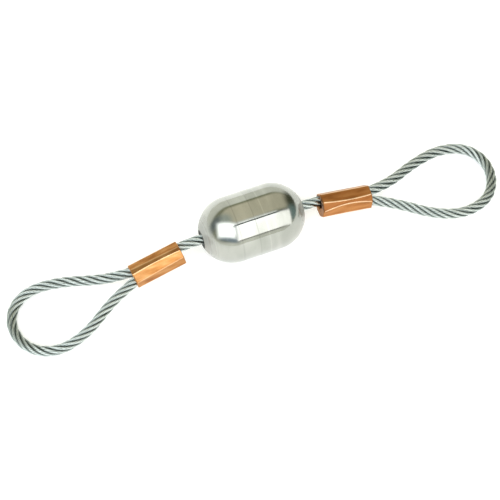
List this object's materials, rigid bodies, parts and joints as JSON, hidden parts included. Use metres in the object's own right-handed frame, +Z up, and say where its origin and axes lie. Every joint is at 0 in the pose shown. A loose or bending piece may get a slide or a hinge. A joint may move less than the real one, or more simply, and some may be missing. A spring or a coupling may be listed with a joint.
{
  "type": "wire strop with sliding bead",
  "caption": "Capsule bead sliding on a short steel wire rope with a pressed copper ferrule and eye at each end, used as a stop or retrieval strop.",
  "frame": {"origin": "on the table, under the middle of the strop's outline", "axes": "+X along the bead and the straight middle of the rope, from the left eye to the right eye; +Z up"},
  "size_m": [0.2489, 0.0443, 0.032],
  "materials": {
    "bead": "turned and polished",
    "rope": "bright galvanised wire",
    "ferrule": "bright pressed copper"
  },
  "bodies": {
    "bead": {"bead": "bead"},
    "rope_middle": {"centre_rope": "rope"},
    "left_eye": {"left_rope": "rope", "left_ferrule": "ferrule"},
    "right_eye": {"right_rope": "rope", "right_ferrule": "ferrule"}
  },
  "joints": [
    {"name": "bead_slide", "type": "slide", "parent": "bead", "child": "rope_middle", "axis": [1, 0, 0], "range_m": [-0.0062, 0.0086]},
    {"name": "left_flex", "type": "hinge", "parent": "rope_middle", "child": "left_eye", "pos_m": [-0.0348, 0.0062, 0.016], "axis": [0, 1, 0], "range_deg": [-0.5, 18], "stiffness_Nm_per_rad": 0.8},
    {"name": "right_flex", "type": "hinge", "parent": "rope_middle", "child": "right_eye", "pos_m": [0.0324, 0.0062, 0.016], "axis": [0, -1, 0], "range_deg": [-0.5, 18], "stiffness_Nm_per_rad": 0.8}
  ]
}
